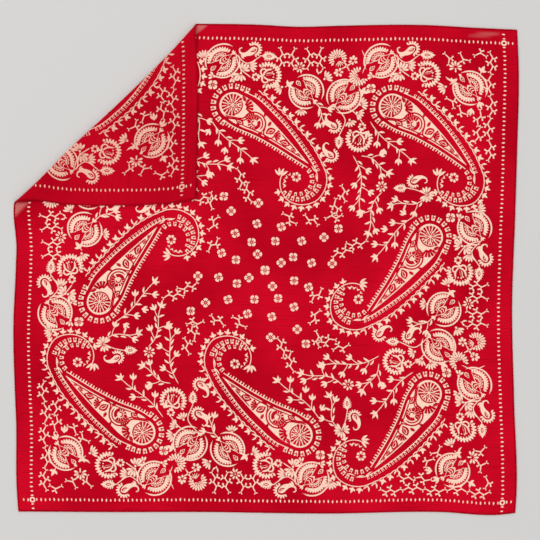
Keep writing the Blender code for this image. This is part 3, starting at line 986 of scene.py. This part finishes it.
def tulip_twig():
    """The twig on the inner side, with two loose tulips under its start."""
    marks = placed(spray(62, -2.6, 3, -1), (-9.5, -27.5), -9)
    return marks + placed(tulip(), np.array([(-4, -37), (22, -43)]), np.array([-84, -62]), 1.1)


def paisley():
    """The whole great paisley."""
    return body() + comb_band() + curl() + ivy_stem() + tulip_twig()


print("a great paisley is", sum(len(s) for _, s in paisley()), "strokes")

# %% [markdown]
# ## One quarter of the print
# The print repeats four times round the middle of the cloth, a quarter turn apart, so only one quarter
# is composed. Places are millimetres from the middle, right and up. Each quarter holds two great
# paisleys, five pomegranates, three carnations, and sprays and coral twigs that fill the ground.

# %% The fruits, with what grows from them
def fruit_branch():
    """The branch that grows from a pomegranate's stalk: a serrated leaf, a fan, two shells and a
    carnation, with a hooked little paisley above."""
    marks = placed(pomegranate(), (0, 0), 219)
    marks += [(CREAM, line([(14, 8), (27, -2), (43, 7)], 1.25, 26, 0.05))]
    marks += [(CREAM, line([(14, 8), (20, -8), (32, -18)], 1.35, 18, 0.05))]
    marks += placed(serrated(), (43.0, 7.0), 0, 1.15)
    marks += placed(fan(5, 84, 10.5), (28.5, -4.5), -4)
    marks += placed(fan(5, 110, 9.5), np.array([(21.5, -10.5), (21.0, -13.5)]), np.array([58, -112]))
    marks += placed(fan(3, 70, 7.0), np.array([(11.5, -17.5), (-8.5, -17.5)]), np.array([-74, 165]))
    marks += placed(carnation(), (31.0, -18.5), 11)
    marks += placed(hook(), (34.5, 13.5), 78, 1.28)
    marks += placed(tulip(), (20.0, 6.5), -12, 0.8)
    return marks


def top_band():
    """Along the top: a fruit branch, and two pomegranates that face each other."""
    marks = placed(fruit_branch(), (-50, 235))
    marks += placed(pomegranate(), np.array([(44, 203), (86, 197)]), np.array([132, 45]))
    marks += placed(fan(5, 96, 9.5), np.array([(64, 217), (17, 208), (104, 187)]), np.array([34, 205, 14]))
    marks += placed(fan(5, 100, 8.5), np.array([(101, 178), (93, 170), (39, 184)]), np.array([-28, -70, -92]))
    marks += placed(fan(6, 100, 10.5), (-71, 237), 95)
    marks += placed(ivy(), np.array([(22, 209), (104, 203)]), np.array([36, -20]), 1.5)
    marks += placed(daisy(), (36, 231))
    marks += [(CREAM, line([(36, 229), (38, 224)], 1.0, 5))]
    marks += placed(sprig(), (57, 223), 78, 1.2)
    # From the left fruit's stalk: a little spray.
    marks += placed(spray(24, 2, 2), (53, 191), -58)
    # From the right fruit's stalk: a hooked paisley, a serrated leaf and a carnation.
    marks += [(CREAM, line([(77, 185), (88, 170), (82, 153)], 1.25, 24, 0.05))]
    marks += [(CREAM, line([(77, 185), (96, 180), (108, 166)], 1.25, 18, 0.05))]
    marks += placed(hook(), (76, 163), 12, 1.2)
    marks += placed(serrated(), (82, 153), -94, 1.05)
    marks += placed(carnation(), (108.5, 168.5), -103, 1.0)
    marks += placed(hook(), (73, 130), 8, 1.2)
    # The knot of flowers in the middle of the top.
    marks += placed(small_carnation(9.5), (78, 240), 105)
    marks += [(CREAM, copies(around(leaf(7.5, 1.2), 5, 0, 236, 96), (80, 237)))]
    marks += placed(oval_flower(), np.array([(95, 232), (85, 224.5)]), np.array([84, 186]), 1.15)
    marks += [(CREAM, copies(around(bar((0, 0), (6.5, 0), 2.2, 0.9), 4, 0, 30), (88.5, 231)))]
    marks += [(RED, copies(disc(0.8, 5), (88.5, 231)))]
    marks += placed(small_carnation(10.0), (102, 219), 208)
    marks += [(CREAM, line([(105, 249), (110, 235), (106, 222)], 1.1, 16, 0.1))]
    marks += [(CREAM, line([(72, 212), (84, 214), (98, 213)], 1.1, 12, 0.1))]
    return marks


def corner():
    """The corner: a fruit branch, and one pomegranate with what grows from it."""
    marks = placed(fruit_branch(), (127, 236)) + placed(pomegranate(), (226, 208), 132)
    marks += placed(half_daisy(), (210, 225), 92, 1.1)
    marks += placed(fan(5, 96, 9.5), (199, 208), 205)
    marks += [(CREAM, copies(leaf(13.0, 2.8, 0.26), (211.5, 218), 172))]
    marks += [(CREAM, copies(petal(4.4, 3.2), (213, 223.5), -40))]
    marks += placed(ivy(), np.array([(205, 212), (238, 226)]), np.array([40, 62]), 1.4)
    marks += placed(tulip(), np.array([(236, 193), (228, 185)]), np.array([-64, -98]), 1.15)
    return marks


# %% Sprays and twigs
def sprays():
    """Three sprays in the open ground between the paisleys, and one beside the second curl with
    shells at its root, a hooked paisley above it and a serrated leaf."""
    marks = placed(spray(62, 4.0, 4), (97, 130), -78)
    marks += placed(spray(46, -4.0, 3), (130, 88), -112)
    marks += placed(spray(34, 3.0, 2), (106, 129), -28)
    marks += placed(daisy(8, 6.6, 2.7), (129, 94), 10)
    root = (180, 85)
    marks += placed(spray(38, 5.0, 2), root, 205)
    marks += placed(fan(4, 84, 9.0), np.array([root] * 3), np.array([-100, -20, 108]))
    marks += [(CREAM, line([root, (168, 90), (158, 92)], 1.2, 16, 0.05))]
    marks += placed(serrated(), (158, 92), 180, 1.05)
    marks += placed(hook(), (165, 100), -104, 1.15)
    return marks


# Coral twigs stand in rows. Each row: where its first twig starts, the way to the next, how many
# there are, the first one's heading, how the heading turns from one to the next, and their steps.
TWIG_ROWS = [
    (249, 248, 0, -25, 5, -90, 0, 4),
    (238, 182, 0, -19, 2, -108, 10, 3),
    (199, 244, 17, 1, 3, -70, 34, 2),
    (202, 194, 13, -9, 2, -52, 8, 2),
    (14, 250, 15, 0, 4, -92, 3, 4),
    (-32, 112, 10, -16, 2, -84, 10, 4),
    (22, 64, 24, -2, 3, -50, 24, 3),
    (85, 94, -7, -15, 2, -86, 14, 3),
]


def twigs():
    """The rows of coral twigs, whose first bends go to each side by turns."""
    marks = []
    for x, y, on_x, on_y, many, heading, turning, steps in TWIG_ROWS:
        for i in range(many):
            motif = coral(steps, 1 if i % 2 == 0 else -1)
            marks += placed(motif, (x + i * on_x, y + i * on_y), heading + i * turning)
    return marks


# %% The middle
# Four-petalled flowers scattered in rings. Each row: the ring's radius, how many flowers it has in a
# quarter, the angle of the first, the angle between them, and how the flowers are turned.
RINGS = [
    (20, 1, 27, 0, 45),
    (35, 2, -18, 45, 0),
    (53, 3, -20, 30, 20),
    (76, 2, 6, 24, 45),
    (95, 1, 30, 0, 0),
]


def middle():
    """The rings of flowers in one quarter."""
    marks = []
    for radius, many, first, between, turn in RINGS:
        places = along_circle((0, 0), radius, first, first + between * (many - 1), many)
        marks += placed(four_petals(), places, turn, 0.92)
    return marks


def quarter():
    """One quarter of the print, as named groups of marks."""
    return {
        "paisleys": placed(paisley(), (-37, 185), -37),
        "outer_paisleys": placed(paisley(), (140, 184), -37),
        "fruits": top_band(),
        "corners": corner(),
        "sprays": sprays() + placed(four_petals(), np.array([(-60, 208), (116, 205)])),
        "twigs": twigs(),
        "middle": middle(),
    }


print({name: sum(len(s) for _, s in marks) for name, marks in quarter().items()}, "strokes")

# %% [markdown]
# ## The print on the cloth
# Each stroke becomes a strip of faces that lies a tenth of a millimetre off the cloth. Keeping the print
# as its own thin meshes holds every edge crisp at any distance. The print also shows on the back, a
# little duller, so the same strokes are laid on the reverse too: that is what the turned corner shows.

# %% The border
BORDER_PITCH = 4.9
BORDER_LEFT, BORDER_RIGHT = 17.0 - WIDTH / 2, WIDTH / 2 - 15.5
BORDER_LOW, BORDER_TOP = 13.5 - HEIGHT / 2, HEIGHT / 2 - 16.0


def border():
    """A row of oval dots along each side, each dot square to its row, and a ring where rows cross.
    The rows run on past the rings with two more dots."""
    marks = []
    low = [(BORDER_LEFT, BORDER_LOW), (BORDER_RIGHT, BORDER_LOW)]
    corners = low + [(BORDER_RIGHT, BORDER_TOP), (BORDER_LEFT, BORDER_TOP)]
    for here, there in zip(corners, corners[1:] + corners[:1]):
        here, there = np.array(here), np.array(there)
        length = np.linalg.norm(there - here)
        way = (there - here) / length
        gaps = round(length / BORDER_PITCH)
        number = np.concatenate([[-2, -1], np.arange(1, gaps), [gaps + 1, gaps + 2]])
        places = here + (number * length / gaps)[:, None] * way
        # The dots drift a little from their line, and differ a little in lean and size.
        drift = 0.25 * np.sin(number * 1.7) + 0.2 * np.sin(number * 0.23)
        places = places + drift[:, None] * np.array([-way[1], way[0]])
        turn = np.degrees(np.arctan2(way[1], way[0])) + 90 + 4 * np.sin(number * 2.9)
        marks.append((CREAM, copies(oval(3.3, 1.6), places, turn, 1 + 0.08 * np.sin(number * 4.1))))
    marks.append((CREAM, copies(arc(2.4, 0, 360, 1.7, 17), corners)))
    return marks


# %% Films
# The print is centred in its border.
PRINT_MIDDLE = np.array([BORDER_LEFT + BORDER_RIGHT, BORDER_LOW + BORDER_TOP]) / 2
# Each cream stroke is laid this much narrower to a side, and each red one this much wider, so that
# fine red lines stay open at the size the cloth is seen.
DRAWN_IN = 0.12
FILM = 0.11  # how far the first layer lies off the cloth
LAYER = 0.045  # and each layer off the one below it
PASS = 0.002  # so that strokes printed one over another never share a height


def drawn_in(layer, strokes):
    """The strokes with their sides moved: in for cream ones, out for red ones."""
    half = (strokes[:, :, 1] - strokes[:, :, 0]) / 2
    middle = strokes[:, :, 0] + half
    size = np.linalg.norm(half, axis=-1, keepdims=True)
    wanted = np.maximum(size + (DRAWN_IN if layer % 2 else -DRAWN_IN), 0.1 * size)
    half = half * wanted / np.maximum(size, 0.001)
    return np.stack([middle - half, middle + half], axis=2)


def whole_cloth(marks):
    """A quarter's marks four times, each a quarter turn on, round the middle of the print."""
    at = [PRINT_MIDDLE] * 4
    return [(layer, copies(drawn_in(layer, strokes), at, [0, 90, 180, 270])) for layer, strokes in marks]


def finer(strokes, along, across):
    """The same strokes with more stations and more lines across, blended between neighbours."""
    stations = strokes.shape[1]
    at = np.linspace(0, stations - 1, (stations - 1) * along + 1)
    i = np.minimum(at.astype(int), stations - 2)
    f = (at - i)[None, :, None, None]
    longer = strokes[:, i] * (1 - f) + strokes[:, i + 1] * f
    share = np.linspace(0, 1, across)[None, None, :, None]
    return longer[:, :, :1] * (1 - share) + longer[:, :, 1:] * share


def sorted_by_need(strokes):
    """The strokes in groups that need the same number of faces: wide ones are cut across every
    3 mm, and those on the turn are cut finely both ways, so that each strip bends with the cloth."""
    width = np.linalg.norm(strokes[:, :, 1] - strokes[:, :, 0], axis=-1).max(axis=1)
    past = past_turn(*cut(0.5 + strokes[..., 0] / WIDTH, 0.5 + strokes[..., 1] / HEIGHT))[0]
    turning = (past > -1).any(axis=(1, 2)) & (past < np.pi * FOLD_RADIUS + 1).any(axis=(1, 2))
    along = np.where(turning, 3, 1)
    across = 1 + np.ceil(width / np.where(turning, 0.9, 3.2)).astype(int)
    for need in sorted(set(zip(along.tolist(), across.tolist()))):
        chosen = (along == need[0]) & (across == need[1])
        yield finer(strokes[chosen], *need)


def film(name, marks, side=1):
    """A print film on the face (side 1) or the reverse (side -1): each point of each stroke is
    carried by `lay` and then moved out of the cloth by half its thickness and the film's lift."""
    points, faces, flats, red, first = [], [], [], [], 0
    for order, (layer, strokes) in enumerate(marks):
        lift = side * (THICKNESS / 2 + FILM + LAYER * layer + PASS * (order % 10))
        for group in sorted_by_need(strokes):
            count, stations, lines = group.shape[:3]
            flat = group.reshape(-1, 2)
            points.append(lay(flat[:, 0], flat[:, 1]) + lift * out_of_face(flat[:, 0], flat[:, 1]))
            i = first + np.arange(len(flat)).reshape(count, stations, lines)
            strip = np.stack([i[:, :-1, :-1], i[:, 1:, :-1], i[:, 1:, 1:], i[:, :-1, 1:]], axis=-1)
            # A mirrored stroke runs the other way round, so its faces are turned to look outwards.
            ahead = group[:, 1:, 0] - group[:, :-1, 0]
            over = group[:, :-1, -1] - group[:, :-1, 0]
            turned = side * (ahead[..., 0] * over[..., 1] - ahead[..., 1] * over[..., 0]).sum(axis=1) < 0
            strip[turned] = strip[turned][..., ::-1]
            faces.append(strip.reshape(-1, 4))
            flats.append(flat)
            red.append(np.full(len(faces[-1]), layer % 2))
            first += len(flat)
    made = add_mesh(name, np.concatenate(points), np.concatenate(faces), np.concatenate(flats))
    made.data.polygons.foreach_set("material_index", np.concatenate(red).astype(np.int32))
    # The film is too thin to cast a shadow of its own.
    made.visible_shadow = False
    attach(made, "root")
    return made


parts = {name: whole_cloth(marks) for name, marks in quarter().items()}
parts["middle"] += [(layer, strokes + PRINT_MIDDLE) for layer, strokes in four_petals()]
parts["border"] = border()
face_films = [film(f"print_{name}", marks) for name, marks in parts.items()]
reverse_films = [film(f"print_{name}_reverse", marks, -1) for name, marks in parts.items()]
for made in face_films:
    print(made.name, len(made.data.polygons), "faces")

# %% [markdown]
# ## Cloth and colour
# The ground is fine plain-woven wool, piece-dyed red. Wool is matt with a soft bloom, which is what the
# sheen gives. The threads run along the cloth's own two directions, so the weave reads the UV map that
# holds each point's place on the flat cloth. Here and there a thicker thread, a slub, runs across. The
# print is pale pigment, and the reverse shows both a little duller.

# %% Helpers for materials
def colour(code):
    """A colour from its sRGB hex code, as the linear values that shaders mix: each channel c becomes
    c/12.92 where it is dark and ((c + 0.055)/1.055) to the power 2.4 elsewhere."""
    c = np.array([int(code[i : i + 2], 16) for i in (1, 3, 5)]) / 255
    linear = np.where(c <= 0.04045, c / 12.92, ((c + 0.055) / 1.055) ** 2.4)
    return (*linear.tolist(), 1.0)


def add_node(tree, kind, inputs=None, **settings):
    """A node of some kind with its settings. Each input is a value or the socket that feeds it."""
    node = tree.nodes.new(kind)
    for key, value in settings.items():
        setattr(node, key, value)
    for key, value in (inputs or {}).items():
        if isinstance(value, bpy.types.NodeSocket):
            tree.links.new(value, node.inputs[key])
        else:
            node.inputs[key].default_value = value
    return node


def mix_colours(tree, share, first, second):
    """A blend of two colours by a share: each is a linear colour or the socket that feeds it."""
    node = add_node(tree, "ShaderNodeMix", {"Factor": share}, data_type="RGBA")
    # The node has a set of sockets for each kind of value; only those for colours are used.
    slots = [socket for socket in node.inputs if socket.type == "RGBA"]
    for socket, value in zip(slots, (first, second)):
        if isinstance(value, bpy.types.NodeSocket):
            tree.links.new(value, socket)
        else:
            socket.default_value = value
    return next(socket for socket in node.outputs if socket.type == "RGBA")


def spread(tree, noise, low, high):
    """A noise stretched so that it is 0 up to low and 1 from high."""
    limits = {"Value": noise.outputs["Fac"], "From Min": low, "From Max": high}
    return add_node(tree, "ShaderNodeMapRange", limits).outputs["Result"]


def new_material(name, roughness, specular):
    """A material with one shader, whose uniform values are set on the shader itself."""
    material = bpy.data.materials.new(name)
    material.use_nodes = True
    shader = material.node_tree.nodes["Principled BSDF"]
    shader.inputs["Roughness"].default_value = roughness
    shader.inputs["Specular IOR Level"].default_value = specular
    return material, material.node_tree, shader


# %% Wool
# Threads in such wool lie about 0.4 mm apart. They are drawn coarser here, or they would be lost.
THREAD = 0.9
# Painted light: the share by which the painted glow and the painted highlight pale the cloth's colour.
PAINTED_LIGHT_SHARE = 0.4  # how far the cloth pales where light comes through it


def wool(name, deep, bright, slub, sheen):
    """Plain-woven wool. Cloudy noise mixes a deep and a bright tone, partly uneven dye and partly painted
    shade and light like that between the cloth's swells; noise stretched along the weft picks out slubs; two
    crossed waves make the bump of over and under threads."""
    material, tree, shader = new_material(name, 0.95, 0.03)
    shader.inputs["Sheen Weight"].default_value = sheen
    shader.inputs["Sheen Roughness"].default_value = 0.6
    shader.inputs["Sheen Tint"].default_value = colour("#F0A0A0")
    place = add_node(tree, "ShaderNodeUVMap", uv_map="cloth")
    flat = add_node(tree, "ShaderNodeMapping", {"Vector": place.outputs["UV"], "Scale": (1000, 1000, 1000)})
    flat = flat.outputs["Vector"]
    # Partly painted shade and light: the cloudy mix darkens and brightens the dye in broad patches.
    noise = {"Vector": flat, "Scale": 0.010, "Detail": 3.0, "Roughness": 0.5}
    clouds = add_node(tree, "ShaderNodeTexNoise", noise)
    ground = mix_colours(tree, spread(tree, clouds, 0.35, 0.65), colour(deep), colour(bright))
    weft = add_node(tree, "ShaderNodeMapping", {"Vector": flat, "Scale": (0.022, 0.75, 1.0)})
    noise = {"Vector": weft.outputs["Vector"], "Scale": 1.0, "Detail": 2.0}
    slubs = spread(tree, add_node(tree, "ShaderNodeTexNoise", noise), 0.56, 0.78)
    dyed = mix_colours(tree, slubs, ground, colour(slub))
    # Painted light: where the mask is set, the dye is mixed towards a pale pink, as painted glow and painted
    # highlight.
    thin = add_node(tree, "ShaderNodeAttribute", attribute_name="painted_light")
    factors = {0: thin.outputs["Fac"], 1: PAINTED_LIGHT_SHARE}
    share = add_node(tree, "ShaderNodeMath", factors, operation="MULTIPLY")
    lit = mix_colours(tree, share.outputs[0], dyed, colour("#E8A09A"))
    tree.links.new(lit, shader.inputs["Base Color"])
    wavy = {"Vector": flat, "Scale": 1 / THREAD / 3.1416, "Distortion": 0.6, "Detail": 1.0}
    wavy["Detail Scale"] = 0.4
    waves = []
    for direction in ("X", "Y"):
        wave = add_node(tree, "ShaderNodeTexWave", wavy, bands_direction=direction)
        waves.append(wave.outputs["Fac"])
    over = add_node(tree, "ShaderNodeMath", {0: waves[0], 1: waves[1]}, operation="MULTIPLY")
    rough = add_node(tree, "ShaderNodeMath", {0: over.outputs[0], 1: slubs}, operation="ADD")
    relief_of = {"Height": rough.outputs[0], "Strength": 0.35, "Distance": 0.0001}
    bump = add_node(tree, "ShaderNodeBump", relief_of)
    tree.links.new(bump.outputs["Normal"], shader.inputs["Normal"])
    return material


wool_face = wool("fine plain-woven wool dyed red", "#B4001A", "#D00624", "#A40016", 0.02)
# The reverse of the same wool, a shade duller than its face.
wool_back = wool("reverse of the red wool", "#B2001A", "#C2041F", "#9C0014", 0.02)
# A rolled hem is several layers of the same wool. Its colour is darker than the face, partly for those layers
# and partly as painted shade along the roll.
shaded_hem_wool = wool("rolled hem of the red wool", "#9C0014", "#AE001A", "#860010", 0.02)


# %% Pigment
def pigment(name, thin, full):
    """Printed pigment: pale, dry and matt. Fine noise lets a little red through, as it does where
    the paste has not covered every thread."""
    material, tree, shader = new_material(name, 0.95, 0.03)
    place = add_node(tree, "ShaderNodeUVMap", uv_map="cloth")
    flat = add_node(tree, "ShaderNodeMapping", {"Vector": place.outputs["UV"], "Scale": (1000, 1000, 1000)})
    noise = {"Vector": flat.outputs["Vector"], "Scale": 0.55, "Detail": 3.0, "Roughness": 0.7}
    grain = add_node(tree, "ShaderNodeTexNoise", noise)
    tone = mix_colours(tree, spread(tree, grain, 0.30, 0.52), colour(thin), colour(full))
    tree.links.new(tone, shader.inputs["Base Color"])
    return material


cream = pigment("cream pigment print", "#FFB8AC", "#FFDCC6")
cream_back = pigment("cream print showing through on the reverse", "#E0958A", "#F0BCA8")

cloth.data.materials.append(wool_face)
cloth.data.materials.append(wool_back)
wall.material_offset = 1
for made in hems:
    made.data.materials.append(shaded_hem_wool)
for made in face_films:
    made.data.materials.append(cream)
    made.data.materials.append(wool_face)
for made in reverse_films:
    made.data.materials.append(cream_back)
    made.data.materials.append(wool_back)
print("materials:", [m.name for m in bpy.data.materials if m.users])

# %% [markdown]
# ## Floor, light and camera
# The bandana lies on a plain pale table and is seen from straight above. One large soft lamp at the
# upper left makes the short shadow beside the turned corner, and an even studio fills the rest in.

# %% Floor
FLOOR_HALF = 3.0
mesh = bpy.data.meshes.new("table")
corners = [(x * FLOOR_HALF, y * FLOOR_HALF, 0) for x, y in ((-1, -1), (1, -1), (1, 1), (-1, 1))]
mesh.from_pydata(corners, [], [(0, 1, 2, 3)])
table = bpy.data.objects.new("table", mesh)
bpy.context.scene.collection.objects.link(table)
# Matt pale paper.
paper, _, shader = new_material("matt pale paper", 0.95, 0.0)
shader.inputs["Base Color"].default_value = colour("#D6D4D2")
table.data.materials.append(paper)

# %% Light
lamp = bpy.data.lights.new("soft lamp", "AREA")
lamp.shape = "DISK"
lamp.size = 2.6
lamp.energy = 62
lamp_stand = bpy.data.objects.new("soft lamp", lamp)
lamp_stand.location = (-2.7, 2.1, 4.2)
direction = Vector((0, 0, 0)) - Vector(lamp_stand.location)
lamp_stand.rotation_euler = direction.to_track_quat("-Z", "Y").to_euler()
bpy.context.scene.collection.objects.link(lamp_stand)
studio = bpy.data.worlds.new("studio")
studio.use_nodes = True
studio.node_tree.nodes["Background"].inputs["Color"].default_value = (1.0, 1.0, 1.0, 1.0)
studio.node_tree.nodes["Background"].inputs["Strength"].default_value = 0.84
bpy.context.scene.world = studio
bpy.context.scene.view_settings.view_transform = "Standard"

# %% Camera
VIEW_WIDTH = 0.6102  # metres of table that the picture shows
CAMERA_HEIGHT = 1.6
lens = bpy.data.cameras.new("camera")
lens.sensor_width = 36
lens.lens = 36 * CAMERA_HEIGHT / VIEW_WIDTH
camera = bpy.data.objects.new("camera", lens)
camera.location = (0.0044, -0.0007, CAMERA_HEIGHT)
bpy.context.scene.collection.objects.link(camera)
bpy.context.scene.camera = camera
print("the camera sees", VIEW_WIDTH, "m across")
